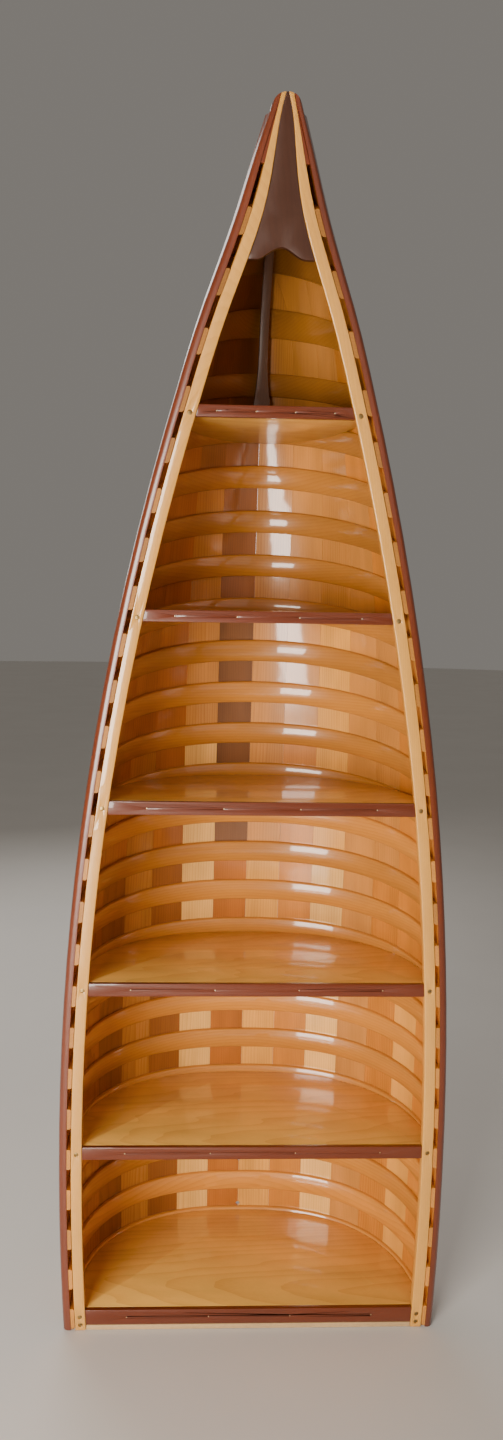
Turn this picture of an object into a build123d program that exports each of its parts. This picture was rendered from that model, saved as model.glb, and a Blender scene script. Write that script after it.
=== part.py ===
"""Bookcase made from the bow half of a rib-and-plank canoe.

The half hull stands on its cut end with the open side facing -Y and the bow at the top. Two layers of
wood make the skin: ribs bent across the hull, and narrow planks that run along it on the outside. Two
inwales and two outwales stiffen the edge, a small deck closes the bow, and six shelves sit between the
gunwales. Millimetres, +Z up, X across the hull. The origin is on the floor, below the middle of the foot.
"""

import os
from math import asin, cos, hypot, pi, sin

from build123d import *

# ------------------------------------------------------------------ hull lines
HEIGHT = 2440.0            # floor to the tip of the bow
BEAM = 826.0               # greatest width, over the outwales
BEAM_HEIGHT = 361.0        # height of that greatest width
CONVERGE = 41.0            # the curved sides would meet this far above the tip
SIDE_POWER = 2.08          # how late the sides turn in towards the bow
BOW_LINE = 380.0           # the sides run nearly straight over this length below the tip
BOW_HOLLOW = 4.5           # and are this much hollow in the middle of it
TIP_BREADTH = 23.0         # outside of the outwale at the tip, from the centre plane
FOOT_FRONT = -190.0        # Y of the gunwale face at the floor
SHEER_START = 202.0        # the gunwales are straight up to here, then sweep forward
SHEER_SWEEP = 206.0        # how far forward the tip stands
SHEER_POWER = 1.84
HULL_DEPTH = 382.0         # gunwale face to the inside of the planking, at the floor
KEEL_RISE = 229.0          # how far the keel line comes forward over the whole height
KEEL_POWER = 1.53
FULLNESS_FOOT = 2.45       # superellipse power of the section at the floor
FULLNESS_TIP = 1.7         # and at the tip of the bow
FULLNESS_POWER = 1.3
LEAN = 0.048               # a section's gunwale end is this share lower than its keel end
STEM_DROP = 24.0           # the inside of the stem ends this far below the tip

# ------------------------------------------------------------------ planking and ribs
PLANK = 5.0                # planking thickness
PLANK_WIDTH = 78.0
SEAM = 0.4                 # gap between two planks
PLANKING_DROP = 46.0       # the planking ends this far below the top of the stem
BUTTS_ODD = (5, 11, 17)    # ribs that cover the butt joints of the first plank, the third and so on
BUTTS_EVEN = (8, 14, 20)   # and of the others
SLIVER = 500.0             # a cut leaves no plank smaller than this volume
RIB = 8.0                  # rib thickness
RIB_WIDTH = 45.0
RIB_EASE = 2.5             # the ribs' long edges are bevelled over this width
BED = 0.5                  # gap between a rib and the planking
FIRST_RIB = 26.5           # height of the lowest rib's middle at the gunwale
RIB_PITCH = 91.0           # rib spacing along the gunwale
BOW_RIB_PITCH = 100.0      # and for the last ribs, under the deck
LONG_RIBS = 22             # ribs at the first spacing
BOW_RIBS = 3               # ribs at the second

# ------------------------------------------------------------------ gunwales
OUTWALE = 12.0             # outwale thickness outside the planking
OUTWALE_TIP = 7.0          # outwale thickness at the tip
OUTWALE_DEPTH = 24.0
OUTWALE_LIP = 4.0          # the outwale laps this far over the planks' edges
INWALE = 23.0              # inwale face width
INWALE_TIP = 9.0           # inwale face width at the tip
INWALE_DEPTH = 20.0
INWALE_TIP_DEPTH = 10.0
TAPER_LENGTH = 240.0       # the inwales taper over this length below the tip
GAP_TAPER = 140.0          # above the last rib the inwales close on the planking over this length
FIT = 0.3                  # gap between long pieces that are fastened together
NOSE_RADIUS = 29.0         # rounding of the bow's tip

# ------------------------------------------------------------------ deck and stems
DECK = 10.0                # deck thickness
DECK_SIDE_DROP = 263.0     # lower edge at the inwales, below the tip
DECK_MIDDLE_DROP = 243.0   # lower edge on the centre line, below the tip
STEM_WIDTH = 18.0
STEM_DEPTH = 20.0
OUTER_STEM_WIDTH = 15.0
OUTER_STEM_DEPTH = 9.0

# ------------------------------------------------------------------ shelves
SHELF_TOPS = (45.0, 417.0, 782.0, 1170.0, 1552.0, 1930.0)
SHELF = 18.0               # shelf board thickness
BASE = 10.5                # thickness of the board under the lowest shelf
EDGING = (34.0, 28.0, 28.0, 28.0, 23.0, 22.0)   # height of each shelf's front edging
EDGING_DEPTH = 11.0
EDGING_INSET = 1.5         # edging face behind the gunwale face
SCREW_DROP = 15.0          # inwale screws below each shelf's top
SCREW_HEAD_R = 4.2
SCREW_SINK = 1.6           # screw head below the inwale's face
SCREW_SHANK_R = 2.0
SCREW_LENGTH = 38.0
FOOT_SCREW = 12.0          # height of the lowest pair of screws
BRAD_R = 1.1
BRAD_LENGTH = 16.0
BRADS = 4                  # brads in each shelf's edging

# ------------------------------------------------------------------ wall fixing
WALL_HOLE_R = 5.0
WALL_HOLES = (57.0, 178.0)  # heights, on the centre line, through the planking

STATIONS = 26              # sections along the hull
CROWDING = 1.25            # how much closer the planking's sections stand towards the bow
SEAM_STEPS = 22            # places along a seam below the bow
BOW_STEP = 18.0            # distance between its places in the bow
PAST_EDGE = 120.0          # how far a seam's cut runs on past the planking's edge
CUT_REACH = 9.0            # and how far past its faces
NEAR_KEEL = 0.985          # a seam ends at this share of the way in to the centre line
NOSE_BLOCK = 200.0         # size of the block that trims the bow's tip
POINTS = 15                # points along half a section

TIP_REACH = HEIGHT + CONVERGE - BEAM_HEIGHT
STEM_TOP = HEIGHT - STEM_DROP


def curved_side(z):
    return BEAM / 2 * (1 - (abs(z - BEAM_HEIGHT) / TIP_REACH) ** SIDE_POWER)


def half_beam(z):
    """Outside of the outwale, from the centre plane, at a height."""
    start = HEIGHT - BOW_LINE
    if z <= start:
        return curved_side(z)
    share = (z - start) / BOW_LINE
    straight = curved_side(start) * (1 - share) + TIP_BREADTH * share
    return straight - BOW_HOLLOW * sin(pi * share) ** 2


def taper(z, length=TAPER_LENGTH):
    """0 below the tapered ends of the gunwales and 1 at the tip."""
    share = min(1.0, max(0.0, (z - (HEIGHT - length)) / length))
    return share * share * (3 - 2 * share)


def outwale_side(z):
    """Thickness of the outwale outside the planking."""
    return OUTWALE + (OUTWALE_TIP - OUTWALE) * taper(z)


def skin_breadth(z):
    """Inside of the planking at the gunwale."""
    return half_beam(z) - outwale_side(z) - PLANK


def sheer_y(z):
    """Front face of the gunwales."""
    rise = max(0.0, (z - SHEER_START) / (HEIGHT - SHEER_START))
    return FOOT_FRONT - SHEER_SWEEP * rise**SHEER_POWER


def keel_y(z):
    """Inside of the planking on the centre line, below the stem."""
    return FOOT_FRONT + HULL_DEPTH - KEEL_RISE * max(0.0, z / HEIGHT) ** KEEL_POWER


def keel_angle(z):
    """How far the keel line leans forward, in radians."""
    slope = KEEL_RISE * KEEL_POWER / HEIGHT * (z / HEIGHT) ** (KEEL_POWER - 1)
    return asin(slope / hypot(slope, 1))


def stem_radius(start):
    return (STEM_TOP - start) / (1 - sin(keel_angle(start)))


def find_stem_start():
    """Height at which a round stem, tangent to the keel line, has to start to end at the tip."""
    low, high = 0.6 * HEIGHT, 0.97 * HEIGHT
    for _ in range(50):
        middle = (low + high) / 2
        end = keel_y(middle) - stem_radius(middle) * cos(keel_angle(middle))
        low, high = (middle, high) if end < sheer_y(STEM_TOP) else (low, middle)
    return low


STEM_START = find_stem_start()
STEM_R = stem_radius(STEM_START)
STEM_ANGLE = keel_angle(STEM_START)
STEM_Y = keel_y(STEM_START) - STEM_R * cos(STEM_ANGLE)      # centre of the stem's arc
STEM_Z = STEM_START - STEM_R * sin(STEM_ANGLE)
BOW_START = STEM_START * (1 - LEAN)                         # gunwale height of the stem's first section


def profile(h):
    """(y, z) of the keel or stem end of the section whose gunwale end is at height h."""
    if h <= BOW_START:
        z = h / (1 - LEAN)
        return keel_y(z), z
    share = (h - BOW_START) / (STEM_TOP - BOW_START)
    angle = STEM_ANGLE + (pi / 2 - STEM_ANGLE) * share
    return STEM_Y + STEM_R * cos(angle), STEM_Z + STEM_R * sin(angle)


class Section:
    """The inside of the planking in the leaning plane whose gunwale end is at height h."""

    def __init__(self, h):
        self.ay, self.az = sheer_y(h), h
        ky, kz = profile(h)
        self.length = hypot(ky - self.ay, kz - self.az)
        self.dy, self.dz = (ky - self.ay) / self.length, (kz - self.az) / self.length
        self.breadth = skin_breadth(h)
        share = min(1.0, max(0.0, kz / HEIGHT)) ** FULLNESS_POWER
        self.power = FULLNESS_FOOT - (FULLNESS_FOOT - FULLNESS_TIP) * share

    def flat(self, angle, out=0.0):
        """(x, distance from the gunwale) of a point, moved out along the section's normal."""
        c, s = max(cos(angle), 0.0), max(sin(angle), 0.0)
        x = self.breadth * c ** (2 / self.power)
        d = self.length * s ** (2 / self.power)
        nx = (x / self.breadth) ** (self.power - 1) / self.breadth
        nd = (d / self.length) ** (self.power - 1) / self.length
        size = hypot(nx, nd)
        return x + out * nx / size, d + out * nd / size

    def space(self, x, d):
        return Vector(x, self.ay + self.dy * d, self.az + self.dz * d)

    def points(self, out, start=0.0):
        """Points from the gunwale to the centre line, beginning a distance start below the gunwale."""
        first = asin((start / self.length) ** (self.power / 2))
        angles = [first + (pi / 2 - first) * i / (POINTS - 1) for i in range(POINTS)]
        return [self.space(*self.flat(a, out)) for a in angles]

    def at_girth(self, girth, steps=120):
        """(x, distance, nx, nd) at a girth from the centre line. Past the gunwale it runs straight on."""
        x0, d0 = self.flat(pi / 2)
        walked = 0.0
        for i in range(1, steps + 1):
            angle = pi / 2 * (1 - i / steps)
            x1, d1 = self.flat(angle)
            step = hypot(x1 - x0, d1 - d0)
            if walked + step >= girth:
                share = (girth - walked) / step
                x, d = x0 + (x1 - x0) * share, d0 + (d1 - d0) * share
                return x, d, (d0 - d1) / step, (x1 - x0) / step
            walked += step
            x0, d0 = x1, d1
        return self.breadth, -(girth - walked), 1.0, 0.0


def section_height(y, z):
    """Gunwale height of the section that passes through a point of the centre plane."""
    low, high = -200.0, STEM_TOP - 1.0
    for _ in range(40):
        middle = (low + high) / 2
        s = Section(middle)
        above = (z - s.az) * s.dy - (y - s.ay) * s.dz
        low, high = (middle, high) if above > 0 else (low, middle)
    return low


def skin_at(y, z):
    """Inside of the planking at a depth and height: x, the outward normal, and the share of the way in."""
    s = Section(section_height(y, z))
    share = ((y - s.ay) * s.dy + (z - s.az) * s.dz) / s.length
    share = min(1.0, max(0.0, share))
    side = (1 - share**s.power) ** (1 / s.power)
    nx, nd = side ** (s.power - 1) / s.breadth, share ** (s.power - 1) / s.length
    size = hypot(nx, nd)
    return side * s.breadth, Vector(nx, nd * s.dy, nd * s.dz) / size, share


def skin_x(y, z):
    return skin_at(y, z)[0]


def curve(points):
    """Smooth edge whose knots are the same in every section, so that a loft stays light."""
    last = len(points) - 1
    return Edge.make_spline(points, parameters=[i / last for i in range(last + 1)])


def loft_of(wires, ruled=False):
    return Solid.make_loft(wires, ruled)


def mirrored(solid):
    return solid.mirror(Plane.YZ)


def both_sides(solids):
    return list(solids) + [mirrored(s) for s in solids]


# ------------------------------------------------------------------ planking
def half_skin():
    """One side of the planking as a single shell, before it is cut into planks."""
    top = STEM_TOP - PLANKING_DROP
    wires = []
    for i in range(STATIONS + 1):
        h = top * (1 - (1 - i / STATIONS) ** CROWDING)
        s = Section(h)
        inner = s.points(0.0, OUTWALE_LIP)
        outer = s.points(PLANK, OUTWALE_LIP)
        for row in (inner, outer):
            row[-1] = Vector(SEAM / 2, row[-1].Y, row[-1].Z)
        wires.append(
            Wire([
                curve(inner),
                Edge.make_line(inner[-1], outer[-1]),
                curve(outer[::-1]),
                Edge.make_line(outer[0], inner[0]),
            ])
        )
    return loft_of(wires)


def seam_path(number):
    """Places along one seam, each with the direction out through the planking."""
    girth = number * PLANK_WIDTH
    places = []
    for i in range(-1, SEAM_STEPS + 1):
        s = Section(BOW_START * i / SEAM_STEPS)
        x, d, nx, nd = s.at_girth(girth)
        if d < -PAST_EDGE:
            return places
        places.append((s.space(x, d), Vector(nx, nd * s.dy, nd * s.dz)))
    heading = places[-1][0] - places[-2][0]
    heading = Vector(0, heading.Y, heading.Z).normalized() * BOW_STEP
    place = places[-1][0]
    while True:
        place = place + heading
        x, through, share = skin_at(place.Y, place.Z)
        if share > NEAR_KEEL or place.Z > STEM_TOP - BOW_STEP:
            break
        places.append((Vector(x, place.Y, place.Z), through))
    heading = (places[-1][0] - places[-2][0]).normalized()
    for i in (1, 2):
        places.append((places[-1][0] + heading * PAST_EDGE / 3, places[-1][1]))
    return places


def seam_cutter(number):
    """A thin strip that parts two planks along their seam."""
    path = seam_path(number)
    wires = []
    for i, (place, through) in enumerate(path):
        ahead, behind = path[min(i + 1, len(path) - 1)][0], path[max(i - 1, 0)][0]
        w = through.cross(ahead - behind).normalized() * (SEAM / 2)
        a, b = through * (PLANK + CUT_REACH), through * -CUT_REACH
        wires.append(Wire.make_polygon([place + a + w, place + a - w, place + b - w, place + b + w]))
    return loft_of(wires, ruled=True)


def wall_hole_cutters():
    return [
        Pos(0, FOOT_FRONT + HULL_DEPTH, z) * Rot(90, 0, 0) * Cylinder(WALL_HOLE_R, PAST_EDGE)
        for z in WALL_HOLES
    ]


def strakes():
    """Planks of one side, in order from the centre line to the gunwale."""
    cutters, number = [], 1
    while Section(0.0).at_girth(number * PLANK_WIDTH)[1] > OUTWALE_LIP:
        cutters.append(seam_cutter(number))
        number += 1
    planks = half_skin() - cutters
    solids = [s for s in planks.solids() if s.volume > SLIVER]

    def foot_x(solid):
        feet = [v.X for v in solid.vertices() if v.Z < 1.0]
        return sum(feet) / len(feet)

    return sorted(solids, key=foot_x)


def butt_cutter(rib_number):
    """A thin cut across the planking, under the middle of a rib."""
    s = Section(rib_height(rib_number))
    across = Plane(origin=s.space(0, s.length / 2), x_dir=(1, 0, 0), z_dir=(0, -s.dz, s.dy))
    return across * Box(2 * BEAM, 2 * s.length, SEAM)


def plank_lengths(number, plank):
    """One plank's lengths, from the floor up. They meet under ribs, and neighbours meet at different ribs."""
    cuts = [butt_cutter(n - 1) for n in (BUTTS_ODD if number % 2 else BUTTS_EVEN)]
    if number == 1:
        cuts += wall_hole_cutters()
    pieces = [s for s in (plank - cuts).solids() if s.volume > SLIVER]
    return sorted(pieces, key=lambda s: s.center().Z)


# ------------------------------------------------------------------ ribs
def rib_height(number):
    """Gunwale height of a rib's middle."""
    long_part = min(number, LONG_RIBS - 1)
    return FIRST_RIB + long_part * RIB_PITCH + (number - long_part) * BOW_RIB_PITCH


def full_section_wire(h, near, far):
    """Closed strip across the whole hull, between two distances inside the planking."""
    s = Section(h)
    outer, inner = s.points(-near), s.points(-far)

    def whole(row):
        left = [Vector(-p.X, p.Y, p.Z) for p in row]
        return left + row[-2::-1]

    outer, inner = whole(outer), whole(inner)
    return Wire([
        curve(outer),
        Edge.make_line(outer[-1], inner[-1]),
        curve(inner[::-1]),
        Edge.make_line(inner[0], outer[0]),
    ])


def rib(number):
    middle, half = rib_height(number), RIB_WIDTH / 2
    edge = RIB - RIB_EASE
    cuts = ((-half, edge), (-half + RIB_EASE, RIB), (0.0, RIB), (half - RIB_EASE, RIB), (half, edge))
    wires = [full_section_wire(middle + w, BED, BED + t) for w, t in cuts]
    return loft_of(wires, ruled=True)


# ------------------------------------------------------------------ gunwales
def rib_gap(z):
    """Space between inwale and planking, which the rib ends fill."""
    closed = taper(z, GAP_TAPER)
    return (RIB + BED + 3 * FIT) * (1 - closed) + FIT * closed


def inwale_face(z):
    return INWALE + (INWALE_TIP - INWALE) * taper(z)


def inwale_depth(z):
    return INWALE_DEPTH + (INWALE_TIP_DEPTH - INWALE_DEPTH) * taper(z)


def side_x(depth, z):
    """Inside of the planking at a small depth behind the gunwale's face."""
    s = Section(min(z, STEM_TOP - 60.0))
    return skin_breadth(z - depth * s.dz / s.dy)


def inwale_inner(z):
    return skin_breadth(z) - rib_gap(z) - inwale_face(z)


def gunwale_heights():
    top = HEIGHT + 6.0
    return [top * i / STATIONS for i in range(STATIONS + 1)]


def inwale_wire(z):
    front, depth = sheer_y(z), inwale_depth(z)
    near, far = side_x(0.0, z) - rib_gap(z), side_x(depth, z) - rib_gap(z)
    wide, ease = inwale_face(z), 1.5
    outline = [
        (near - wide + ease, front),
        (near, front),
        (far, front + depth),
        (far - wide + ease, front + depth),
        (far - wide, front + depth - ease),
        (near - wide, front + ease),
    ]
    return Wire.make_polygon([Vector(x, y, z) for x, y in outline])


def outwale_wire(z):
    front = sheer_y(z)
    lip, back = OUTWALE_LIP - FIT, OUTWALE_DEPTH
    top, end = side_x(0.0, z), side_x(back, z)
    side = outwale_side(z)
    reach = PLANK + side
    round_edge = [(0.42, 0.0), (0.75, 0.12), (0.93, 0.3), (1.0, 0.5)]
    outline = [(top + 0.1, front)]
    outline += [(top + reach * a, front + back * b) for a, b in round_edge]
    outline += [(end + PLANK + side * 0.85, front + back * 0.86)]
    outline += [(end + PLANK + side * 0.55, front + back)]
    outline += [(end + PLANK + 2 * FIT, front + back)]
    outline += [(top + PLANK + 2 * FIT, front + lip), (top + 0.1, front + lip)]
    return Wire.make_polygon([Vector(x, y, z) for x, y in outline])


def nose_trim():
    """What is cut from the gunwales and deck to round the bow's tip."""
    centre = Pos(0, sheer_y(HEIGHT), HEIGHT - NOSE_RADIUS)
    block = centre * Pos(0, 0, NOSE_BLOCK / 2) * Box(NOSE_BLOCK, NOSE_BLOCK, NOSE_BLOCK)
    return block - centre * Rot(90, 0, 0) * Cylinder(NOSE_RADIUS, 2 * NOSE_BLOCK)


def screw_places():
    """(x, y, z) of every screw head on the right inwale's face."""
    heights = [FOOT_SCREW] + [top - SCREW_DROP for top in SHELF_TOPS]
    return [
        Vector(skin_breadth(z) - rib_gap(z) - inwale_face(z) / 2, sheer_y(z), z) for z in heights
    ]


def along_y(place, start, end, radius):
    """Cylinder along Y whose ends are at distances behind a place."""
    return Pos(place.X, place.Y + (start + end) / 2, place.Z) * Rot(90, 0, 0) * Cylinder(
        radius, end - start
    )


def inwale():
    body = loft_of([inwale_wire(z) for z in gunwale_heights()]) - nose_trim()
    cutters = []
    for place in screw_places():
        cutters.append(along_y(place, -5.0, SCREW_SINK + 2.5, SCREW_HEAD_R + 0.4))
        cutters.append(along_y(place, 0.0, INWALE_DEPTH + 5.0, SCREW_SHANK_R + 0.2))
    return body - cutters


def inwale_screw(place):
    head = along_y(place, SCREW_SINK, SCREW_SINK + 2.4, SCREW_HEAD_R)
    shank = along_y(place, SCREW_SINK + 2.4, SCREW_LENGTH, SCREW_SHANK_R)
    slot = Pos(place.X, place.Y + SCREW_SINK, place.Z) * Box(SCREW_HEAD_R * 2.2, 1.6, 1.1)
    return (head + shank - slot).solid()


def outwale():
    body = loft_of([outwale_wire(z) for z in gunwale_heights()])
    return body - nose_trim()


# ------------------------------------------------------------------ bow
def bow_deck():
    low = HEIGHT - DECK_SIDE_DROP
    heights = [low + (HEIGHT - low) * i / 8 for i in range(9)]
    side = [Vector(inwale_inner(z) - FIT, 0, z) for z in heights]
    edge = side[0].X
    ogee = Edge.make_spline(
        [side[0], Vector(edge * 0.62, 0, low + 2.0), Vector(0, 0, HEIGHT - DECK_MIDDLE_DROP),
         Vector(-edge * 0.62, 0, low + 2.0), Vector(-edge, 0, low)],
        tangents=[Vector(-1, 0, 0), Vector(-1, 0, 0)],
    )
    left = [Vector(-p.X, 0, p.Z) for p in side]
    outline = Wire([
        Edge.make_spline(side),
        Edge.make_line(side[-1], left[-1]),
        Edge.make_spline(left[::-1]),
        ogee,
    ])
    board = Solid.extrude(Face(outline), Vector(0, -800, 0)).moved(Pos(0, 100, 0))
    front = [Vector(0, sheer_y(z) + 0.8, z) for z in heights + [HEIGHT + 40.0]]
    front.insert(0, Vector(0, sheer_y(low - 60.0) + 0.8, low - 60.0))
    back = [p + Vector(0, DECK, 0) for p in front]
    slab_end = Wire([
        Edge.make_spline(front),
        Edge.make_line(front[-1], back[-1]),
        Edge.make_spline(back[::-1]),
        Edge.make_line(back[0], front[0]),
    ])
    slab = Solid.extrude(Face(slab_end), Vector(600, 0, 0)).moved(Pos(-300, 0, 0))
    return (board & slab) - nose_trim()


def stem_wire(h, near, far, wide):
    """Rectangle across the stem, between two distances inside the planking's centre line."""
    s = Section(h)
    a, b = s.length - near, s.length - far
    corners = [(wide / 2, a), (wide / 2, b), (-wide / 2, b), (-wide / 2, a)]
    return Wire.make_polygon([s.space(x, d) for x, d in corners])


def inner_stem():
    near = RIB + 2 * BED
    first, last = SHELF_TOPS[-1] + 12.0, STEM_TOP - 110.0
    wires = []
    for i in range(9):
        h = first + (last - first) * i / 8
        h_start = h * (1 - LEAN) if i == 0 else h
        s = Section(h_start)
        room = 2 * s.breadth * (1 - ((s.length - near) / s.length) ** s.power) ** (1 / s.power)
        wide = min(STEM_WIDTH, room * 0.5)
        wires.append(stem_wire(h_start, near + 5.0, near + 5.0 + STEM_DEPTH, wide))
    return loft_of(wires)


def outer_stem():
    first, last = BOW_START - 120.0, STEM_TOP - 34.0
    wires = []
    for i in range(11):
        h = first + (last - first) * i / 10
        swell = min(1.0, 0.35 + i / 4)
        wires.append(stem_wire(h, -PLANK - FIT, -PLANK - FIT - OUTER_STEM_DEPTH * swell, OUTER_STEM_WIDTH))
    return loft_of(wires)


# ------------------------------------------------------------------ shelves
def board_outline(z, inside):
    """Closed outline at one height: front edge, notches behind the inwales, then round the hull."""
    front = sheer_y(z) + EDGING_INSET + EDGING_DEPTH + FIT
    notch = sheer_y(z) + INWALE_DEPTH + 1.5
    back_y = keel_back(z)
    count = 16
    rim = []
    for i in range(count + 1):
        angle = pi / 2 * i / count
        y = notch + (back_y - notch) * sin(angle)
        rim.append(Vector(skin_x(y, z), y, 0))
    rim[-1] = Vector(0, back_y, 0)
    moved = [Vector(rim[0].X - inside, rim[0].Y, z)]
    for i in range(1, count):
        run = (rim[i + 1] - rim[i - 1]).normalized()
        moved.append(Vector(rim[i].X - inside * run.Y, rim[i].Y + inside * run.X, z))
    moved.append(Vector(0, back_y - inside, z))
    whole = moved + [Vector(-p.X, p.Y, z) for p in moved[-2::-1]]
    a = inwale_inner(z) - 0.6
    return Wire([
        Edge.make_line((-a, front, z), (a, front, z)),
        Edge.make_line((a, front, z), (a, notch, z)),
        Edge.make_line((a, notch, z), whole[0]),
        curve(whole),
        Edge.make_line(whole[-1], (-a, notch, z)),
        Edge.make_line((-a, notch, z), (-a, front, z)),
    ])


def keel_back(z):
    """Inside of the planking on the centre line, at a height."""
    if z <= STEM_START:
        return keel_y(z)
    return STEM_Y + (STEM_R**2 - (z - STEM_Z) ** 2) ** 0.5


def board(bottom, top, inside):
    return loft_of([board_outline(bottom, inside), board_outline(top, inside)], ruled=True)


def shelf(number):
    top = SHELF_TOPS[number]
    body = board(top - SHELF, top, RIB + 2 * BED + 0.8)
    place = screw_places()[number + 1]
    holes = [along_y(place, 0.0, SCREW_LENGTH + 1.0, SCREW_SHANK_R + 0.2)]
    return body - both_sides(holes)


def base_panel():
    """Board on the floor, under the lowest shelf, with its front edge in line with the edging."""
    body = board(0.0, BASE, RIB + 2 * BED + 0.8)
    a = inwale_inner(0.0) - 0.6
    deep = EDGING_DEPTH + FIT
    nose = Pos(0, FOOT_FRONT + EDGING_INSET + deep / 2, BASE / 2) * Box(2 * a, deep, BASE)
    place = screw_places()[0]
    holes = [along_y(place, 0.0, SCREW_LENGTH + 1.0, SCREW_SHANK_R + 0.2)]
    return (body + nose) - both_sides(holes)


def edging_wire(z):
    a = inwale_inner(z) - 0.6
    front = sheer_y(z) + EDGING_INSET
    return Wire.make_polygon([
        Vector(-a, front, z),
        Vector(a, front, z),
        Vector(a, front + EDGING_DEPTH, z),
        Vector(-a, front + EDGING_DEPTH, z),
    ])


def brad_places(number):
    z = SHELF_TOPS[number] - EDGING[number] / 2
    a = inwale_inner(z)
    return [
        Vector(a * (2 * (i + 0.5) / BRADS - 1), sheer_y(z) + EDGING_INSET, z) for i in range(BRADS)
    ]


def edging(number):
    top = SHELF_TOPS[number]
    body = loft_of([edging_wire(top - EDGING[number] + FIT), edging_wire(top)], ruled=True)
    holes = [along_y(p, -3.0, EDGING_DEPTH + 5.0, BRAD_R + 0.1) for p in brad_places(number)]
    return body - holes


def edging_brad(place):
    return along_y(place, 0.15, EDGING_DEPTH - 0.2, BRAD_R)


# ------------------------------------------------------------------ writing the parts
def save(name, solids):
    group = Compound(children=[Solid(s.solid().wrapped) for s in solids])
    export_step(group, os.path.join("parts", name + ".step"))
    print(name, len(solids))


def main():
    os.makedirs("parts", exist_ok=True)
    print("stem starts at", round(STEM_START, 1), "radius", round(STEM_R, 1))
    for number, plank in enumerate(strakes(), start=1):
        save(f"strake_{number}", both_sides(plank_lengths(number, plank)))
    for number in range(LONG_RIBS + BOW_RIBS):
        save(f"rib_{number + 1:02d}", [rib(number)])
    right_inwale, right_outwale = inwale(), outwale()
    save("inwale_right", [right_inwale])
    save("inwale_left", [mirrored(right_inwale)])
    save("outwale_right", [right_outwale])
    save("outwale_left", [mirrored(right_outwale)])
    save("bow_deck", [bow_deck()])
    save("inner_stem", [inner_stem()])
    save("outer_stem", [outer_stem()])
    save("base_panel", [base_panel()])
    for number in range(len(SHELF_TOPS)):
        save(f"shelf_{number + 1}", [shelf(number)])
        save(f"shelf_edging_{number + 1}", [edging(number)])
    save("inwale_screws", both_sides([inwale_screw(p) for p in screw_places()]))
    brads = [edging_brad(p) for n in range(len(SHELF_TOPS)) for p in brad_places(n)]
    save("edging_brads", brads)


if __name__ == "__main__":
    main()
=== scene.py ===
# %% [markdown]
# # A bookcase made from half a canoe
# The bow half of a rib-and-plank canoe stands on its cut end, with six shelves between its gunwales.
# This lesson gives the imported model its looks: cedar planks of many tones, steam-bent ribs, pale
# inwales, red-brown outwales, a dark deck and honey-coloured shelves, all under a thick gloss varnish.

# %% Load the fixed frame
from math import cos, pi, radians, sin

import bpy
from mathutils import Matrix, Vector


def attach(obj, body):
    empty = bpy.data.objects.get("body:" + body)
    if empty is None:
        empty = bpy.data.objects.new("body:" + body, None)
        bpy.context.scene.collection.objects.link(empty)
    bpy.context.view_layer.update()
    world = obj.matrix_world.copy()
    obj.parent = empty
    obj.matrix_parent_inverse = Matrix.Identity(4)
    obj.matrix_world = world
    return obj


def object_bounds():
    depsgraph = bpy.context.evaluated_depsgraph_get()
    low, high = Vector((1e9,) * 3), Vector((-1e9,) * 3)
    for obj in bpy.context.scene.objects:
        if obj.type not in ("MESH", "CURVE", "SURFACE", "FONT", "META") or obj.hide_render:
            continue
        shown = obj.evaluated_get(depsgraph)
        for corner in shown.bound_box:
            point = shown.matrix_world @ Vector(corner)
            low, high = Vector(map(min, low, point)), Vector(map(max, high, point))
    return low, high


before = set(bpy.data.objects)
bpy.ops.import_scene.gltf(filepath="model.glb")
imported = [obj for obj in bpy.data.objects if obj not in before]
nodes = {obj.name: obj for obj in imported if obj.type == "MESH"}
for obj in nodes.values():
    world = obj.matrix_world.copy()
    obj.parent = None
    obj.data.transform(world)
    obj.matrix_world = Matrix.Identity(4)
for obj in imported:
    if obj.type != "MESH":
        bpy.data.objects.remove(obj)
cad_box = [list(corner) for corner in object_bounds()]


def rounded(box):
    """A box's corners to the millimetre, for printing."""
    return [[round(value, 3) for value in corner] for corner in box]


print("nodes:", len(nodes), "box:", rounded(cad_box))

# %% [markdown]
# The sheer is the line of the gunwales. It is upright at the foot and sweeps forward towards the bow.
# The camera, the grain of the planks and the wedges at the tip are all placed from it.

# %% The sheer line
FOOT_FRONT = -0.190                       # Y of the gunwale faces at the floor
TOP = cad_box[1][2]                       # height of the bow's tip
SHEER_START = 0.202                       # above this height the gunwales sweep forward
SHEER_SWEEP = 0.206                       # by this much at the tip
SHEER_POWER = 1.84


def sheer_front(height):
    """Y of the gunwales' front faces at a height."""
    rise = max(0.0, (height - SHEER_START) / (TOP - SHEER_START))
    return FOOT_FRONT - SHEER_SWEEP * rise**SHEER_POWER


print("front of the gunwales at the foot and tip:", sheer_front(0), round(sheer_front(TOP), 3))

# %% [markdown]
# The camera stands where a person would, a little left of the middle and at chest height. It is tilted
# down and rolled by less than a degree, as a hand-held camera is. Its matrix is written out from three
# directions, because that keeps the order of the three turns plain.

# %% Camera
LENS, SENSOR = 25.88, 36.0                # in millimetres
SIDEWAYS_SHIFT = 0.0321
CAMERA_SIDE, CAMERA_BACK, CAMERA_HEIGHT = -0.197, 2.083, 1.566
YAW, PITCH, ROLL = radians(2.21), radians(6.44), radians(0.93)

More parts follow.
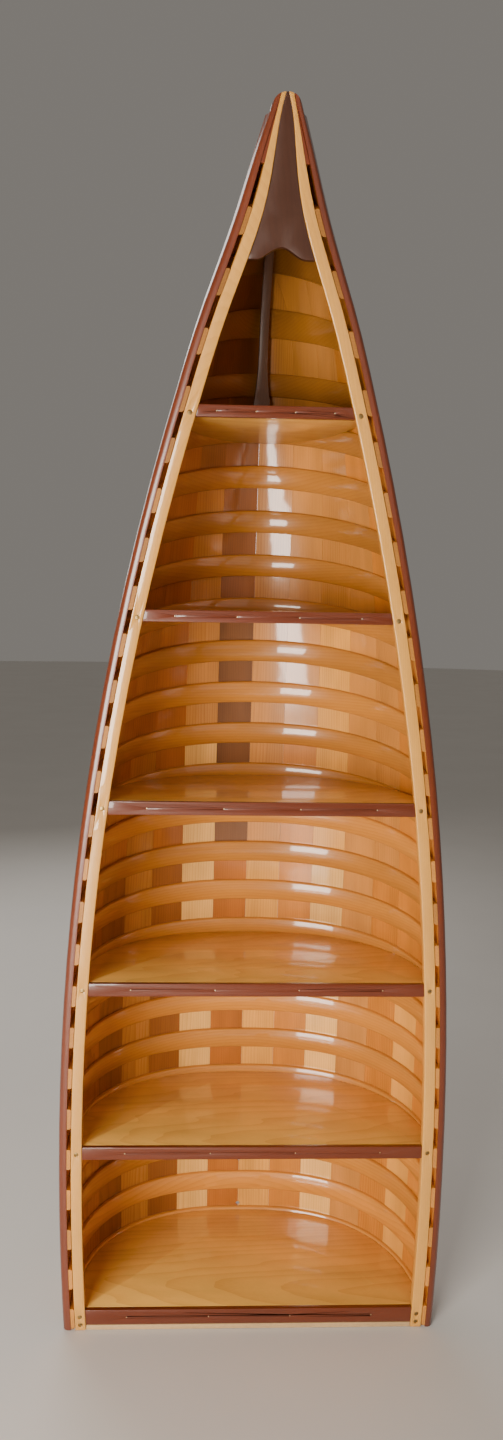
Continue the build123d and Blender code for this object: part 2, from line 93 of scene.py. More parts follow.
scene = bpy.context.scene
camera_data = bpy.data.cameras.new("camera")
camera = bpy.data.objects.new("camera", camera_data)
scene.collection.objects.link(camera)
camera_data.lens = LENS
camera_data.sensor_width = SENSOR
camera_data.sensor_fit = "AUTO"
camera_data.shift_x = SIDEWAYS_SHIFT
camera_data.dof.use_dof = False
forward = Vector((sin(YAW) * cos(PITCH), cos(YAW) * cos(PITCH), -sin(PITCH)))
level_right = Vector((cos(YAW), -sin(YAW), 0))
level_down = forward.cross(level_right)
right = level_right * cos(ROLL) - level_down * sin(ROLL)
down = level_right * sin(ROLL) + level_down * cos(ROLL)
turn = Matrix((right, -down, -forward)).transposed()
standpoint = Matrix.Translation((CAMERA_SIDE, FOOT_FRONT - CAMERA_BACK, CAMERA_HEIGHT))
camera.matrix_world = standpoint @ turn.to_4x4()
scene.camera = camera
print("camera looks along", [round(v, 3) for v in forward])

# %% [markdown]
# Soft studio light. A large panel on the left and in front is the window: it leaves the left inside of
# the hull in shade, lights the right inside, and gives the varnish its highlights. A weak panel on the
# right fills the shadows, and one behind shows the outside of the hull.

# %% Lights
def panel(name, place, target, size, power, colour):
    """An area light that faces a target. Sizes are in metres and power in watts."""
    data = bpy.data.lights.new(name, "AREA")
    data.shape = "RECTANGLE"
    data.size, data.size_y = size
    data.energy = power
    data.color = colour
    lamp = bpy.data.objects.new(name, data)
    scene.collection.objects.link(lamp)
    lamp.location = place
    aim = Vector(target) - Vector(place)
    lamp.rotation_euler = aim.to_track_quat("-Z", "Y").to_euler()
    return lamp


lamps = [
    panel("window", place=(-1.6, -3.0, 1.0), target=(0.05, 0.0, 0.85), size=(1.5, 1.7),
          power=185.0, colour=(1.0, 0.93, 0.84)),
    panel("fill", place=(1.9, -3.4, 2.3), target=(0.0, 0.0, 1.2), size=(2.4, 2.4),
          power=9.0, colour=(1.0, 0.93, 0.86)),
    panel("back_glow", place=(-1.2, 3.0, 3.0), target=(0.0, 0.0, 1.2), size=(2.6, 2.6),
          power=60.0, colour=(1.0, 0.97, 0.94)),
]
print("lights:", [lamp.name for lamp in lamps])

# %% [markdown]
# The world gives a dim, warm grey light from all round. The floor is a wide disc just under the part,
# so that the two never share a face.

# %% Surroundings and floor
ROOM_COLOUR = (0.60, 0.56, 0.51, 1)
ROOM_STRENGTH = 0.34
FLOOR_RADIUS = 25.0
FLOOR_SIDES = 64
FLOOR_DROP = 0.001

world = bpy.data.worlds.new("room")
scene.world = world
world.use_nodes = True
background = world.node_tree.nodes["Background"]
background.inputs["Color"].default_value = ROOM_COLOUR
background.inputs["Strength"].default_value = ROOM_STRENGTH

floor_mesh = bpy.data.meshes.new("floor")
turns = [2 * pi * i / FLOOR_SIDES for i in range(FLOOR_SIDES)]
rim = [(FLOOR_RADIUS * cos(angle), FLOOR_RADIUS * sin(angle), 0) for angle in turns]
floor_mesh.from_pydata(rim, [], [tuple(range(FLOOR_SIDES))])
floor = bpy.data.objects.new("floor", floor_mesh)
floor.location.z = -FLOOR_DROP
scene.collection.objects.link(floor)
print("floor corners:", len(floor_mesh.vertices))

# %% [markdown]
# ## Shared shader groups
# A material is a tree of nodes. These helpers make a node, give its sockets a number or another node's
# output, and return the output that the next step needs, so a chain of nodes reads like a sum.

# %% Small helpers for node trees
MIX_FIRST, MIX_SECOND, MIX_COLOUR = 6, 7, 2      # the Mix node's own numbers for its colour sockets


def put(tree, kind, **settings):
    """A new node with some of its properties set."""
    node = tree.nodes.new(kind)
    for key, value in settings.items():
        setattr(node, key, value)
    return node


def feed(tree, socket, source):
    """Give a socket a number, a colour or another node's output."""
    if isinstance(source, bpy.types.NodeSocket):
        tree.links.new(source, socket)
    else:
        socket.default_value = source


def calculate(tree, operation, first, second=0.0, third=0.0, clamp=False):
    node = put(tree, "ShaderNodeMath", operation=operation, use_clamp=clamp)
    for socket, source in zip(node.inputs, (first, second, third)):
        feed(tree, socket, source)
    return node.outputs[0]


def vector_math(tree, operation, first, second=(0, 0, 0)):
    node = put(tree, "ShaderNodeVectorMath", operation=operation)
    feed(tree, node.inputs[0], first)
    feed(tree, node.inputs[1], second)
    return node.outputs[0]


def split_vector(tree, vector):
    node = put(tree, "ShaderNodeSeparateXYZ")
    feed(tree, node.inputs[0], vector)
    return node.outputs


def join_vector(tree, *parts):
    node = put(tree, "ShaderNodeCombineXYZ")
    for socket, part in zip(node.inputs, parts):
        feed(tree, socket, part)
    return node.outputs[0]


def blend_colours(tree, share, first, second, kind="MIX"):
    node = put(tree, "ShaderNodeMix", data_type="RGBA", blend_type=kind)
    feed(tree, node.inputs["Factor"], share)
    feed(tree, node.inputs[MIX_FIRST], first)
    feed(tree, node.inputs[MIX_SECOND], second)
    return node.outputs[MIX_COLOUR]


def noise(tree, vector, scale, detail=2.0, rough=0.5, output="Fac"):
    node = put(tree, "ShaderNodeTexNoise")
    feed(tree, node.inputs["Vector"], vector)
    feed(tree, node.inputs["Scale"], scale)
    feed(tree, node.inputs["Detail"], detail)
    feed(tree, node.inputs["Roughness"], rough)
    return node.outputs[output]


helpers = (put, feed, calculate, vector_math, split_vector, join_vector, blend_colours, noise)
print("helpers:", [helper.__name__ for helper in helpers])

# %% [markdown]
# A node group is a recipe that many materials share. Its named inputs are what one wood changes from
# another, and its outputs go on to the shader, which stays in the material itself.

# %% Making a group
FLOAT, COLOUR, VECTOR = "NodeSocketFloat", "NodeSocketColor", "NodeSocketVector"


def new_group(name, inputs, outputs):
    """A shader group with named sockets. Inputs are (name, kind, default)."""
    tree = bpy.data.node_groups.new(name, "ShaderNodeTree")
    for label, kind, default in inputs:
        socket = tree.interface.new_socket(name=label, in_out="INPUT", socket_type=kind)
        if default is not None:
            socket.default_value = default
    for label, kind in outputs:
        tree.interface.new_socket(name=label, in_out="OUTPUT", socket_type=kind)
    print("group:", name, "with", len(inputs), "inputs")
    return tree, put(tree, "NodeGroupInput").outputs, put(tree, "NodeGroupOutput").inputs


# %% [markdown]
# Every finish here is wood under varnish, so one node group makes the wood. Its vector has X along the
# grain, in metres. A ring texture around that axis gives the growth figure, as in a real log. Each piece
# comes from another place in its log, so a seed moves the vector before the rings are drawn.

# %% Growth rings
SEED_STEPS = (3.17, 0.0371, 0.0213)       # how far one step of the seed moves a piece, in metres
HEART_OFFSET = 0.06                       # distance of a piece with seed 0 from the log's heart
RING_STRETCH = (0.09, 1.0, 1.0)           # rings change slowly along the grain
RING_SCALE = 0.314                        # the wave texture's scale for rings 1 m apart
WANDER_SIZE = 0.05
LATE_WOOD_SHARPNESS = 2.2                 # late wood is a narrow dark edge on each ring


def place_in_log(tree, vector, seed):
    steps = [calculate(tree, "MULTIPLY_ADD", seed, step, start)
             for step, start in zip(SEED_STEPS, (0.0, 0.0, HEART_OFFSET))]
    return vector_math(tree, "ADD", vector, join_vector(tree, *steps))


def growth_rings(tree, place, spacing, wander):
    """Rises from 0 to 1 across each ring. Wander bends the rings."""
    squeezed = vector_math(tree, "MULTIPLY", place, RING_STRETCH)
    drift = noise(tree, squeezed, scale=9.0, output="Color")
    centred = vector_math(tree, "SUBTRACT", drift, (0.5, 0.5, 0.5))
    scaled = put(tree, "ShaderNodeVectorMath", operation="SCALE")
    feed(tree, scaled.inputs[0], centred)
    feed(tree, scaled.inputs["Scale"], calculate(tree, "MULTIPLY", wander, WANDER_SIZE))
    bent = vector_math(tree, "ADD", squeezed, scaled.outputs[0])
    rings = put(tree, "ShaderNodeTexWave", wave_type="RINGS", rings_direction="X",
                wave_profile="SAW")
    feed(tree, rings.inputs["Vector"], bent)
    feed(tree, rings.inputs["Scale"], calculate(tree, "DIVIDE", RING_SCALE, spacing))
    feed(tree, rings.inputs["Distortion"], 0.6)
    feed(tree, rings.inputs["Detail"], 2.0)
    feed(tree, rings.inputs["Detail Scale"], 2.0)
    return calculate(tree, "POWER", rings.outputs["Fac"], LATE_WOOD_SHARPNESS)


print("one seed step moves a piece by", SEED_STEPS)

# %% [markdown]
# Fibres and pores are noise that is stretched along the grain. Fibres are streaks everywhere, and pores
# are the short dark dashes of mahogany and ash, so only the top of their noise is kept.

# %% Fibres and pores
FIBRE_STRETCH = (0.012, 1.0, 1.0)
PORE_STRETCH = (0.035, 1.0, 1.0)
PORE_THRESHOLD = 0.6
PORE_CONTRAST = 5.0
PORE_COLOUR = (0.02, 0.008, 0.005, 1)


def fibre_streaks(tree, place):
    thin = vector_math(tree, "MULTIPLY", place, FIBRE_STRETCH)
    return noise(tree, thin, scale=900.0, detail=3.0, rough=0.6)


def open_pores(tree, place):
    short = vector_math(tree, "MULTIPLY", place, PORE_STRETCH)
    pores = noise(tree, short, scale=1500.0, detail=1.0)
    top = calculate(tree, "SUBTRACT", pores, PORE_THRESHOLD, clamp=True)
    return calculate(tree, "MULTIPLY", top, PORE_CONTRAST, clamp=True)


print("fibres are stretched", round(1 / FIBRE_STRETCH[0]), "times along the grain")

# %% [markdown]
# The group mixes early and late wood by the rings and streaks, darkens and lightens broad patches, and
# puts the pores on top. It also gives a roughness and a height, so that figure, shine and relief agree.

# %% The wood group
BROAD_STRETCH = (0.25, 1.0, 1.0)
BASE_ROUGHNESS, FIBRE_ROUGHNESS = 0.28, 0.18


def make_wood_group():
    tree, given, made = new_group(
        "solid wood",
        [("Vector", VECTOR, None), ("Early Wood", COLOUR, (0.6, 0.35, 0.15, 1)),
         ("Late Wood", COLOUR, (0.4, 0.2, 0.08, 1)), ("Ring Spacing", FLOAT, 0.005),
         ("Ring Strength", FLOAT, 0.5), ("Wander", FLOAT, 0.5), ("Fibre Strength", FLOAT, 0.3),
         ("Pore Strength", FLOAT, 0.0), ("Tone Drift", FLOAT, 0.2), ("Seed", FLOAT, 0.0)],
        [("Color", COLOUR), ("Roughness", FLOAT), ("Height", FLOAT)])
    place = place_in_log(tree, given["Vector"], given["Seed"])
    ring = growth_rings(tree, place, given["Ring Spacing"], given["Wander"])
    fibre = fibre_streaks(tree, place)
    pore = open_pores(tree, place)

    late = calculate(tree, "MULTIPLY", ring, given["Ring Strength"])
    centred_fibre = calculate(tree, "SUBTRACT", fibre, 0.5)
    streak = calculate(tree, "MULTIPLY", centred_fibre, given["Fibre Strength"])
    share = calculate(tree, "ADD", late, calculate(tree, "MULTIPLY", streak, 2.0), clamp=True)
    colour = blend_colours(tree, share, given["Early Wood"], given["Late Wood"])

    broad_place = vector_math(tree, "MULTIPLY", place, BROAD_STRETCH)
    centred_broad = calculate(tree, "SUBTRACT", noise(tree, broad_place, scale=14.0), 0.5)
    drift = calculate(tree, "MULTIPLY", given["Tone Drift"], 2.0)
    tone = calculate(tree, "MULTIPLY_ADD", centred_broad, drift, 1.0)
    level = put(tree, "ShaderNodeCombineColor")
    for socket in level.inputs:
        feed(tree, socket, tone)
    colour = blend_colours(tree, 1.0, colour, level.outputs[0], "MULTIPLY")

    pored = calculate(tree, "MULTIPLY", pore, given["Pore Strength"], clamp=True)
    feed(tree, made["Color"], blend_colours(tree, pored, colour, PORE_COLOUR))
    roughness = calculate(tree, "MULTIPLY_ADD", fibre, FIBRE_ROUGHNESS, BASE_ROUGHNESS)
    feed(tree, made["Roughness"], roughness)
    half_fibre = calculate(tree, "MULTIPLY", fibre, 0.5)
    feed(tree, made["Height"], calculate(tree, "SUBTRACT", half_fibre, pored))
    return tree


wood_group = make_wood_group()

# %% [markdown]
# Age and handling show as dirt and a little lost shine. The second group mixes a slow, cloudy mask into
# the colour and the roughness, so no varnished face is perfectly even. Dirt gathers near the floor.

# %% The wear group
CLEAN_ABOVE = 0.05                        # the dirt from the floor ends at this height
RUBBED_COLOUR = (0.09, 0.045, 0.02, 1)
DIRT_COLOUR = (0.05, 0.03, 0.02, 1)
CLOUD_THRESHOLD, CLOUD_CONTRAST = 0.45, 3.0
RUB_TINT, RUB_DULLING = 0.35, 0.25


def make_wear_group():
    tree, given, made = new_group(
        "varnish wear",
        [("Vector", VECTOR, None), ("Color", COLOUR, (1, 1, 1, 1)), ("Roughness", FLOAT, 0.3),
         ("Amount", FLOAT, 0.3), ("Foot Dirt", FLOAT, 0.3)],
        [("Color", COLOUR), ("Roughness", FLOAT)])
    clouds = noise(tree, given["Vector"], scale=5.0, detail=5.0, rough=0.65)
    specks = noise(tree, given["Vector"], scale=160.0)
    bright_clouds = calculate(tree, "SUBTRACT", clouds, CLOUD_THRESHOLD, clamp=True)
    rub = calculate(tree, "MULTIPLY", bright_clouds, CLOUD_CONTRAST, clamp=True)
    amount = calculate(tree, "MULTIPLY", rub, given["Amount"])
    low = put(tree, "ShaderNodeMapRange", clamp=True)
    feed(tree, low.inputs["Value"], split_vector(tree, given["Vector"])[2])
    feed(tree, low.inputs["From Min"], CLEAN_ABOVE)
    feed(tree, low.inputs["From Max"], 0.0)
    near_floor = calculate(tree, "MULTIPLY", low.outputs["Result"], given["Foot Dirt"])
    dirt = calculate(tree, "MULTIPLY", near_floor, specks)
    rubbed = calculate(tree, "MULTIPLY", amount, RUB_TINT)
    worn = blend_colours(tree, rubbed, given["Color"], RUBBED_COLOUR)
    feed(tree, made["Color"], blend_colours(tree, dirt, worn, DIRT_COLOUR))
    dulled = calculate(tree, "MULTIPLY_ADD", amount, RUB_DULLING, given["Roughness"])
    feed(tree, made["Roughness"], dulled)
    return tree


wear_group = make_wear_group()

# %% [markdown]
# The grain of a gunwale runs up the hull and a shelf's runs across it. For these, the object's own
# coordinates only change their order, so that X lies along the grain. The grain dips a little into the
# board, because rings that run exactly along a face would show as one flat tone.

# %% Straight grain
SIDE_DIP = 0.7                            # the sideways dip, as a share of the other
HEIGHT_DIP, ACROSS_DIP = 0.02, 0.09       # in radians


def object_place(tree):
    return put(tree, "ShaderNodeTexCoord").outputs["Object"]


def reordered(tree, vector, order, dip):
    """The vector with its parts in another order, turned by the dip."""
    parts = split_vector(tree, vector)
    mapping = put(tree, "ShaderNodeMapping")
    joined = join_vector(tree, *(parts["XYZ".index(letter)] for letter in order))
    feed(tree, mapping.inputs["Vector"], joined)
    mapping.inputs["Rotation"].default_value = (0.0, dip, dip * SIDE_DIP)
    return mapping.outputs[0]


def along_height(tree):
    return reordered(tree, object_place(tree), "ZXY", HEIGHT_DIP)


def across(tree):
    return reordered(tree, object_place(tree), "XYZ", ACROSS_DIP)


print("dips in degrees:", [round(dip * 180 / pi, 1) for dip in (HEIGHT_DIP, ACROSS_DIP)])

# %% [markdown]
# Planks and ribs are bent, so their grain needs the angle round the hull. A plank's grain runs with the
# height, and the angle is measured from the open side's line, so it stays with the plank as the hull
# narrows. A rib's grain runs with the angle.

# %% Bent grain
PLANK_AXIS_FRONT = 0.02                   # the planks' axis is this far in front of the sheer
PLANK_RADIUS = 0.45                       # turns the planks' angle into metres
RIB_AXIS_FRONT = 0.2                      # the ribs' axis is this far in front of the part's origin
RIB_RADIUS = 0.35


def along_plank(tree):
    """X is the height, Y the way round the hull. The board is thin, so its depth is left out."""
    x, y, z = split_vector(tree, object_place(tree))
    above = calculate(tree, "MAXIMUM", calculate(tree, "SUBTRACT", z, SHEER_START), 0.0)
    rise = calculate(tree, "DIVIDE", above, TOP - SHEER_START)
    swept = calculate(tree, "POWER", rise, SHEER_POWER)
    front = calculate(tree, "MULTIPLY_ADD", swept, -SHEER_SWEEP, FOOT_FRONT)
    deep = calculate(tree, "ADD", calculate(tree, "SUBTRACT", y, front), PLANK_AXIS_FRONT)
    angle = calculate(tree, "ARCTAN2", x, deep)
    return join_vector(tree, z, calculate(tree, "MULTIPLY", angle, PLANK_RADIUS))


def round_the_hull(tree):
    """X is the way round the hull, Y is the height, Z is the distance from the hull's axis."""
    x, y, z = split_vector(tree, object_place(tree))
    deep = calculate(tree, "ADD", y, RIB_AXIS_FRONT)
    angle = calculate(tree, "ARCTAN2", x, deep)
    squares = [calculate(tree, "MULTIPLY", part, part) for part in (x, deep)]
    radius = calculate(tree, "SQRT", calculate(tree, "ADD", *squares))
    return join_vector(tree, calculate(tree, "MULTIPLY", angle, RIB_RADIUS), z, radius)


print("radii for the bent grain:", PLANK_RADIUS, RIB_RADIUS)

# %% [markdown]
# One function makes each varnished wood. The varnish is the shader's coat: a clear layer with a sharp
# reflection over duller wood. Values that are the same all over are set on the shader itself.

# %% Varnished wood
WOOD_SPECULAR = 0.35
VARNISH_IOR = 1.5
RELIEF_STRENGTH, RELIEF_DEPTH = 0.35, 0.0002


def new_material(name):
    """A material that uses nodes, with its tree and its shader."""
    material = bpy.data.materials.new(name)
    material.use_nodes = True
    tree = material.node_tree
    return material, tree, tree.nodes["Principled BSDF"]


def varnished(name, direction, early, late, spacing=0.005, rings=0.5, wander=0.5, fibres=0.3,
              pores=0.0, drift=0.2, seed=0.0, coat=1.0, coat_rough=0.07, wear=0.25):
    material, tree, shader = new_material(name)
    wood = put(tree, "ShaderNodeGroup", node_tree=wood_group)
    feed(tree, wood.inputs["Vector"], direction(tree))
    values = {"Early Wood": (*early, 1), "Late Wood": (*late, 1), "Ring Spacing": spacing,
              "Ring Strength": rings, "Wander": wander, "Fibre Strength": fibres,
              "Pore Strength": pores, "Tone Drift": drift, "Seed": seed}
    for label, value in values.items():
        feed(tree, wood.inputs[label], value)
    worn = put(tree, "ShaderNodeGroup", node_tree=wear_group)
    feed(tree, worn.inputs["Vector"], object_place(tree))
    feed(tree, worn.inputs["Color"], wood.outputs["Color"])
    feed(tree, worn.inputs["Roughness"], wood.outputs["Roughness"])
    feed(tree, worn.inputs["Amount"], wear)
    feed(tree, shader.inputs["Base Color"], worn.outputs["Color"])
    feed(tree, shader.inputs["Roughness"], worn.outputs["Roughness"])
    relief = put(tree, "ShaderNodeBump")
    feed(tree, relief.inputs["Strength"], RELIEF_STRENGTH)
    feed(tree, relief.inputs["Distance"], RELIEF_DEPTH)
    feed(tree, relief.inputs["Height"], wood.outputs["Height"])
    feed(tree, shader.inputs["Normal"], relief.outputs["Normal"])
    shader.inputs["Specular IOR Level"].default_value = WOOD_SPECULAR
    shader.inputs["Coat Weight"].default_value = coat
    shader.inputs["Coat Roughness"].default_value = coat_rough
    shader.inputs["Coat IOR"].default_value = VARNISH_IOR
    return material


print("a varnished wood has", len(wood_group.interface.items_tree), "sockets in its wood group")

# %% [markdown]
# ## Smooth faces on the CAD parts
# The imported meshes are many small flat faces. Welding their doubled corners and splitting only the sharp
# edges again makes curved wood look curved. A small bevel rounds the edges that a plane and sandpaper
# would round. These are modifiers, so the shapes of the CAD meshes themselves stay as they are.

# %% Smoothing and easing edges
WELD_GAP = 0.00002
SHARP = 38.0                              # edges that turn by more than this stay sharp, in degrees
BROAD_SHARP = 50.0                        # the same for ribs and outwales, which have rounded faces


def smooth(node, ease=0.0, sharp=SHARP):
    """Smooth shading, with edges rounded by ease metres."""
    mesh = node.data
    mesh.normals_split_custom_set([(0.0, 0.0, 0.0)] * len(mesh.loops))
    mesh.polygons.foreach_set("use_smooth", [True] * len(mesh.polygons))
    weld = node.modifiers.new("weld", "WELD")
    weld.merge_threshold = WELD_GAP
    if ease:
        bevel = node.modifiers.new("ease", "BEVEL")
        bevel.width = ease
        bevel.segments = 2
        bevel.limit_method = "ANGLE"
        bevel.angle_limit = radians(sharp)
        bevel.use_clamp_overlap = True
    split = node.modifiers.new("split", "EDGE_SPLIT")
    split.split_angle = radians(sharp)


def finish_node(name, materials, ease=0.0, sharp=SHARP):
    """Give a CAD node its materials and smooth it."""
    node = nodes[name]
    node.data.materials.clear()
    for material in materials:
        node.data.materials.append(material)
    smooth(node, ease, sharp)
    return node


print("edges over", SHARP, "degrees stay sharp")

# %% [markdown]
# ## The planking
# White and red cedar from different trees went into one hull, so the planks differ in tone from one to the
# next; the tones given below also hold painted shade and a painted highlight. Each tone is made in two
# cuts, one with close, faint rings and one with wide, strong rings, and they alternate round the hull.

# %% Cedar woods
TONES = {
    "pale": ((0.80, 0.44, 0.115), (0.64, 0.30, 0.065)),
    "honey": ((0.72, 0.335, 0.058), (0.56, 0.22, 0.032)),
    "tan": ((0.52, 0.215, 0.042), (0.38, 0.135, 0.022)),
    "amber": ((0.56, 0.200, 0.024), (0.40, 0.115, 0.012)),
    "russet": ((0.41, 0.125, 0.016), (0.27, 0.070, 0.009)),
    "brown": ((0.28, 0.092, 0.017), (0.18, 0.050, 0.009)),
    "umber": ((0.165, 0.064, 0.019), (0.105, 0.036, 0.010)),
}
CUTS = (
    {"spacing": 0.0042, "rings": 0.5, "wander": 0.7},
    {"spacing": 0.0058, "rings": 0.8, "wander": 1.2},
)
TONE_SEED, CUT_SEED = 2.3, 11.7           # steps of the seed, so that no two woods match
cedar = {}
for number, (tone, (early, late)) in enumerate(TONES.items()):
    cedar[tone] = [
        varnished(f"cedar_{tone}_{cut + 1}", along_plank, early, late, fibres=0.75, drift=0.4,
                  seed=number * TONE_SEED + cut * CUT_SEED, coat_rough=0.11, **figure)
        for cut, figure in enumerate(CUTS)]
print("cedar woods:", sum(len(cuts) for cuts in cedar.values()))

# %% [markdown]
# A plank isn't one board from end to end: its lengths meet end to end under ribs, where the joint is
# backed. The ribs lean, so the height that tells one length from the next is measured at the gunwale.

# %% Where the lengths of a plank meet
FIRST_RIB, RIB_PITCH = 0.0265, 0.091      # the ribs' heights at the gunwale
BUTT_RIBS = ((5, 11, 17), (8, 14, 20))    # ribs that back the joints of odd and even planks
LENGTHS = 4
HULL_DEPTH = 0.382
KEEL_RISE, KEEL_POWER = 0.229, 1.53
RIB_LEAN = 0.0504
LEAN_ROUNDS = 6                           # each round brings the height nearer, and six are plenty

butts = [[FIRST_RIB + RIB_PITCH * (rib - 1) for rib in row] for row in BUTT_RIBS]


def gunwale_height(y, z):
    """Height at the gunwale of the leaning rib line through a place on the planking."""
    height = z
    for _ in range(LEAN_ROUNDS):
        front = sheer_front(height)
        back = FOOT_FRONT + HULL_DEPTH - KEEL_RISE * max(0.0, height / TOP) ** KEEL_POWER
        share = min(1.0, max(0.0, (y - front) / (back - front)))
        height = z / (1 + RIB_LEAN * share)
    return height


print("joints at gunwale heights:", [[round(butt, 3) for butt in row] for row in butts])

# %% [markdown]
# Each CAD node holds a left and a right plank, and each length of each plank gets its own wood, by the
# place of its faces. The tones stay mostly the same along a plank, so that the back isn't a patchwork.

# %% Cedar planks
# Tones of each plank's four lengths, from the floor up. The first plank is the one by the centre line.
# Besides real differences between boards, these tones hold painted light: the left planks, most of all
# their upper lengths, are darker as painted shade, and the pale lengths of the third plank on the right
# are partly a painted highlight.
LEFT = ("russet russet umber brown", "pale pale tan brown", "brown brown russet russet",
        "tan tan russet russet", "brown brown russet russet", "russet russet russet brown",
        "amber amber russet russet", "russet russet brown brown")
RIGHT = ("honey honey tan tan", "amber amber tan tan", "pale pale honey tan",
         "tan tan tan amber", "amber amber tan amber", "honey amber amber amber",
         "amber amber honey tan", "amber amber amber amber")

strake_names = sorted(name for name in nodes if name.startswith("strake_"))
for number, name in enumerate(strake_names):
    row = LEFT[number % len(LEFT)].split() + RIGHT[number % len(RIGHT)].split()
    woods = [cedar[tone][(number + i // LENGTHS) % len(CUTS)] for i, tone in enumerate(row)]
    node = finish_node(name, woods)
    for face in node.data.polygons:
        height = gunwale_height(face.center.y, face.center.z)
        length = sum(height > butt for butt in butts[number % len(butts)])
        face.material_index = length + (LENGTHS if face.center.x > 0 else 0)
print("planks:", 2 * len(strake_names))

# %% [markdown]
# ## Ribs and stem
# The ribs are straight-grained cedar, steamed and bent. They are a little redder and more even than the
# planks. Each one has its own shade, and their colour is painted darker towards the bow as painted shade,
# where less light reaches.

# %% Ribs
RIB_EARLY, RIB_LATE = (0.60, 0.238, 0.036), (0.40, 0.125, 0.016)
SHADE_CHANGE, SHADE_STEP = 0.12, 2.4      # how much the shade varies, and how fast from rib to rib
BOW_PAINTED_SHADE, BOW_POWER = 0.5, 1.2

rib_names = sorted(name for name in nodes if name.startswith("rib_"))
for number, name in enumerate(rib_names):
    lift = 1.0 + SHADE_CHANGE * sin(number * SHADE_STEP)
    # Painted shade: the colour is made darker towards the bow, where less light reaches.
    lift *= 1.0 - BOW_PAINTED_SHADE * (number / len(rib_names)) ** BOW_POWER
    wood = varnished(f"rib_wood_{number + 1}", round_the_hull, [c * lift for c in RIB_EARLY],
                     [c * lift for c in RIB_LATE], spacing=0.006, rings=0.38, wander=0.6,
                     drift=0.22, seed=number * 1.7 + 3.0)
    finish_node(name, [wood], sharp=BROAD_SHARP)
print("ribs:", len(rib_names))

# %% [markdown]
# The inner stem sits deep in the bow. Its wood is dark, and its finish has dulled.

# %% Inner stem
stem_wood = varnished("stem_wood", along_height, (0.13, 0.060, 0.028), (0.08, 0.036, 0.016),
                      seed=4.0, coat=0.3, coat_rough=0.3)
finish_node("inner_stem", [stem_wood], ease=0.002)
print("stem:", stem_wood.name)

# %% [markdown]
# ## Gunwales, deck and edgings
# The inwales are pale, straight-grained ash. The outwales, the deck and the shelf edgings are mahogany,
# which has open pores and little figure. The deck has darkened most.

# %% Inwales and outwales
ash = varnished("ash", along_height, (0.72, 0.345, 0.066), (0.57, 0.240, 0.037), spacing=0.004,
                rings=0.4, wander=0.25, fibres=0.35, pores=0.12, drift=0.12, seed=2.0)
outwale_mahogany = varnished("outwale_mahogany", along_height, (0.160, 0.028, 0.005),
                             (0.095, 0.014, 0.003), spacing=0.007, rings=0.3, wander=0.4,
                             fibres=0.4, pores=0.2, seed=5.0, coat_rough=0.2)
for side in ("left", "right"):
    finish_node(f"inwale_{side}", [ash], ease=0.0012)
    finish_node(f"outwale_{side}", [outwale_mahogany], sharp=BROAD_SHARP)
finish_node("outer_stem", [outwale_mahogany], ease=0.0015)
print("gunwale woods:", ash.name, outwale_mahogany.name)

# %% [markdown]
# Near the tip the gunwales run together, and a thin wedge of wood fills the slot between them. Its sides
# follow the inwale's outer face and the outwale's inner face. Both close in steadily with the height and
# lean outwards behind the front edge, so four straight rules place the corners of each cross-section.

# %% Cross-sections of the wedges
WEDGE_LOW, WEDGE_HIGH = 2.330, 2.428      # heights of its ends
WEDGE_FRONT, WEDGE_BACK = 0.0015, 0.006   # how far behind the gunwales' front edge it starts and ends
WEDGE_STATIONS = 12
INNER_HALF, INNER_CLOSING = 0.0357, 0.231     # half-breadth at the low end, and its loss per metre
OUTER_HALF, OUTER_CLOSING = 0.0418, 0.303
INNER_LEAN, OUTER_LEAN = 0.2, 0.85
THINNEST = 0.0006


def wedge_corners(sign):
    """Four corners for each station, on the side of the centre plane that the sign tells."""
    corners = []
    for i in range(WEDGE_STATIONS):
        z = WEDGE_LOW + (WEDGE_HIGH - WEDGE_LOW) * i / (WEDGE_STATIONS - 1)
        inner = INNER_HALF - INNER_CLOSING * (z - WEDGE_LOW)
        outer = max(OUTER_HALF - OUTER_CLOSING * (z - WEDGE_LOW), inner + THINNEST)
        for deep in (WEDGE_FRONT, WEDGE_BACK):
            y = sheer_front(z) + deep
            corners.append((sign * (inner + INNER_LEAN * deep), y, z))
            corners.append((sign * (outer + OUTER_LEAN * deep), y, z))
    return corners


print("corners of a wedge:", len(wedge_corners(1)))

# %% [markdown]
# Faces join each station to the next and close both ends. The left wedge is a mirror image, so its faces
# run the other way round, which keeps their fronts on the outside.

# %% Wedges between the gunwales at the tip
RING = (0, 1, 3, 2)                       # a station's corners in order round the wedge


def wedge_faces(mirrored):
    last = len(RING) * (WEDGE_STATIONS - 1)
    faces = [RING[::-1], tuple(last + corner for corner in RING)]
    for start in range(0, last, len(RING)):
        for k in range(len(RING)):
            a, b = start + RING[k], start + RING[(k + 1) % len(RING)]
            faces.append((a, b, b + len(RING), a + len(RING)))
    return [face[::-1] for face in faces] if mirrored else faces


def bow_wedge(side, sign):
    """A tapered bar along the sheer, on one side of the centre plane."""
    mesh = bpy.data.meshes.new(f"bow_filler_{side}")
    mesh.from_pydata(wedge_corners(sign), [], wedge_faces(sign < 0))
    piece = bpy.data.objects.new(f"bow_filler_{side}", mesh)
    scene.collection.objects.link(piece)
    mesh.materials.append(outwale_mahogany)
    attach(piece, "root")
    return piece


wedges = [bow_wedge("left", -1), bow_wedge("right", 1)]
print("wedges:", [piece.name for piece in wedges])

# %% [markdown]
# The deck's varnish has dulled, so its coat is weak and rough. The edgings are redder and shinier, and
# each one is cut from its own place in the log.

# %% Deck and edgings
SHELF_COUNT = 6

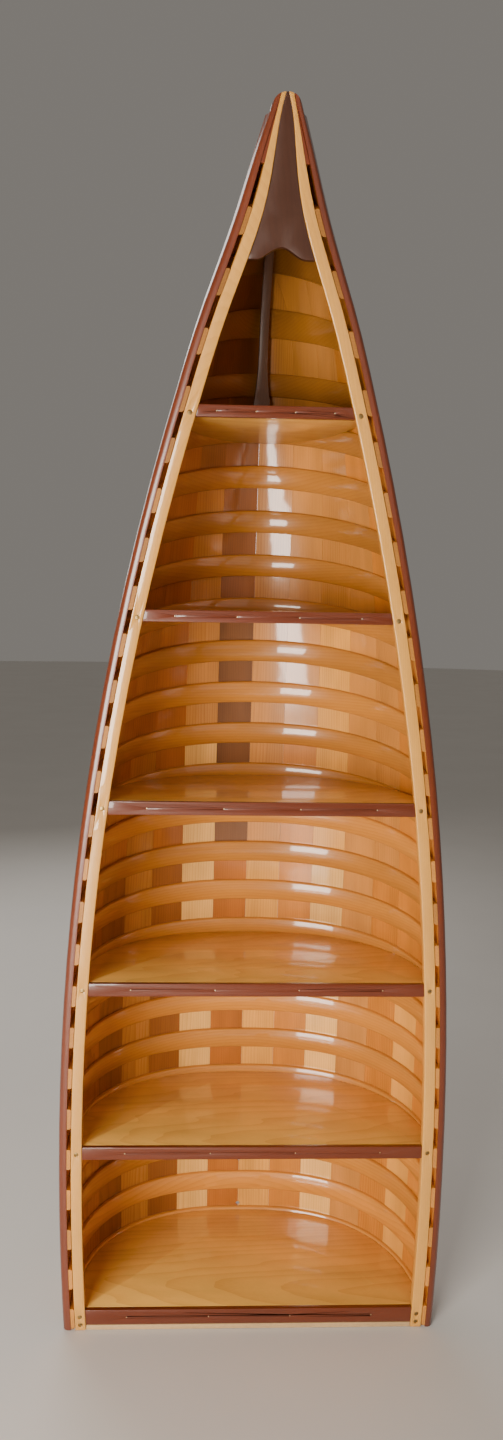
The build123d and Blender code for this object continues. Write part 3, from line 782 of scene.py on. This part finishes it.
deck_mahogany = varnished("deck_mahogany", along_height, (0.060, 0.020, 0.0095),
                          (0.036, 0.012, 0.006), spacing=0.009, rings=0.3, fibres=0.5, pores=0.2,
                          seed=8.0, coat=0.25, coat_rough=0.3)
finish_node("bow_deck", [deck_mahogany], ease=0.0012)
for number in range(1, SHELF_COUNT + 1):
    wood = varnished(f"edging_mahogany_{number}", across, (0.130, 0.022, 0.004),
                     (0.075, 0.011, 0.002), spacing=0.011, rings=0.08, wander=0.4, fibres=0.45,
                     pores=0.2, seed=number * 1.9, coat=0.7)
    finish_node(f"shelf_edging_{number}", [wood], ease=0.0012)
print("edgings:", SHELF_COUNT)

# %% [markdown]
# ## Shelves
# The shelves are faced with rotary-cut birch, whose growth rings show as wide, pale flames. The rings'
# axis is nearly level with the board and away from its face, and it is tilted, so the face cuts the
# rings in long loops. The base panel is the same kind of board, duller and greyer.

# %% Shelf boards
for number in range(1, SHELF_COUNT + 1):
    birch = varnished(f"birch_{number}", across, (0.84, 0.47, 0.098), (0.62, 0.29, 0.048),
                      spacing=0.012, wander=1.3, fibres=0.35, drift=0.3, seed=number * 3.1,
                      coat_rough=0.11)
    finish_node(f"shelf_{number}", [birch], ease=0.0008)
base_ply = varnished("base_ply", across, (0.62, 0.40, 0.19), (0.47, 0.28, 0.12), seed=9.0,
                     rings=0.3)
finish_node("base_panel", [base_ply], ease=0.0008)
print("boards:", SHELF_COUNT + 1)

# %% [markdown]
# ## Brass
# Screws hold the shelves through the inwales, and brads hold the edgings. Old brass is dull in its
# hollows and brighter where it was rubbed, so one noise mixes two tones and the roughness together.

# %% Aged brass
BRASS_ROUGHNESS, STAIN_ROUGHNESS = 0.25, 0.3


def make_brass(name, bright, stained):
    material, tree, shader = new_material(name)
    stains = noise(tree, object_place(tree), scale=380.0, detail=3.0, rough=0.6)
    feed(tree, shader.inputs["Base Color"], blend_colours(tree, stains, bright, stained))
    roughness = calculate(tree, "MULTIPLY_ADD", stains, STAIN_ROUGHNESS, BRASS_ROUGHNESS)
    feed(tree, shader.inputs["Roughness"], roughness)
    shader.inputs["Metallic"].default_value = 1.0
    return material


screw_brass = make_brass("screw_brass", bright=(0.50, 0.34, 0.13, 1), stained=(0.20, 0.12, 0.05, 1))
brad_brass = make_brass("brad_brass", bright=(0.95, 0.80, 0.50, 1), stained=(0.70, 0.50, 0.24, 1))
finish_node("inwale_screws", [screw_brass], ease=0.0003)
finish_node("edging_brads", [brad_brass], ease=0.0002)
print("brass:", screw_brass.name, brad_brass.name)

# %% [markdown]
# ## Floor
# A plain pale floor, slightly mottled so that it isn't one flat tone.

# %% Floor finish
FLOOR_ROUGHNESS = 0.6

floor_material, floor_tree, floor_shader = new_material("pale_floor")
mottle = noise(floor_tree, object_place(floor_tree), scale=1.5, detail=4.0, rough=0.6)
floor_colour = blend_colours(floor_tree, mottle, (0.70, 0.67, 0.63, 1), (0.78, 0.75, 0.71, 1))
feed(floor_tree, floor_shader.inputs["Base Color"], floor_colour)
floor_shader.inputs["Roughness"].default_value = FLOOR_ROUGHNESS
floor.data.materials.append(floor_material)
print("floor:", floor_material.name)
